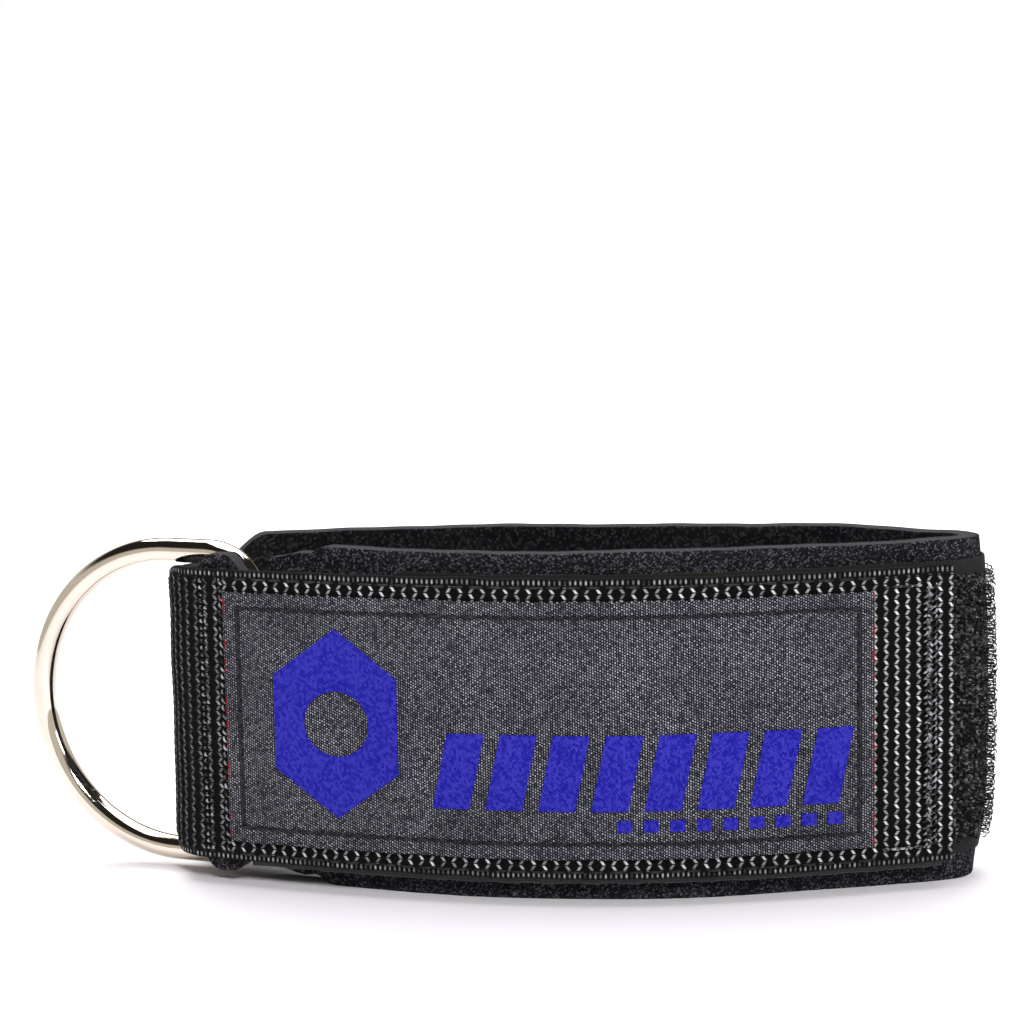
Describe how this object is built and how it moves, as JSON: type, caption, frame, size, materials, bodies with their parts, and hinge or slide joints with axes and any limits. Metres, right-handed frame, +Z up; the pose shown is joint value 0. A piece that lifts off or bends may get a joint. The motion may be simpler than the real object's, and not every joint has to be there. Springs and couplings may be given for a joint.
{
  "type": "ankle cuff",
  "caption": "Padded ankle cuff for a cable machine: a neoprene band folded back through a steel ring, closed by a hook-and-loop webbing tail with a woven label.",
  "frame": {"origin": "middle of the footprint of the cuff standing on the band's lower edge", "axes": "+Z up, along the ankle's axis; the label faces -Y; the ring is at -X and the sharp end bend at +X"},
  "size_m": [0.166, 0.0436, 0.0581],
  "materials": {
    "foam": "closed-cell foam, matt cut edge",
    "jersey": "fine nylon jersey with a speckled sheen",
    "lining": "matt brushed plush",
    "webbing": "heavy ribbed nylon webbing, slight gloss",
    "keeper": "light flat webbing",
    "hook_tape": "woven nylon hooks",
    "loop_tape": "brushed nylon loops",
    "label": "charcoal satin-woven label",
    "mark": "royal blue woven yarn",
    "thread": "bonded polyester thread",
    "ring_metal": "bright nickel-plated steel wire"
  },
  "bodies": {
    "cuff": {"foam_core": "foam", "outer_jersey": "jersey", "plush_lining": "lining", "webbing_band": "webbing", "hook_tape": "hook_tape", "ring_keeper": "keeper", "keeper_stitches": "thread", "hook_tape_stitches": "thread", "webbing_edge_stitches": "thread", "webbing_start_bartack": "thread"},
    "ring": {"d_ring": "ring_metal"},
    "tail": {"foam_tab": "foam", "jersey_tab": "jersey", "lining_tab": "lining", "webbing_tail": "webbing", "loop_tape": "loop_tape", "woven_label": "label", "label_mark": "mark", "label_stitches": "thread", "fold_stitches": "thread", "tail_end_bartack": "thread", "tail_edge_stitches": "thread"}
  },
  "joints": [
    {"name": "ring_swing", "type": "hinge", "parent": "cuff", "child": "ring", "pos_m": [-0.04063, 0.00262, 0.0296], "axis": [0, 0, 1], "range_deg": [-30, 0]},
    {"name": "tail_peel", "type": "hinge", "parent": "cuff", "child": "tail", "pos_m": [-0.04999, -0.00392, 0.0296], "axis": [0, 0, -1], "range_deg": [0, 100]}
  ]
}
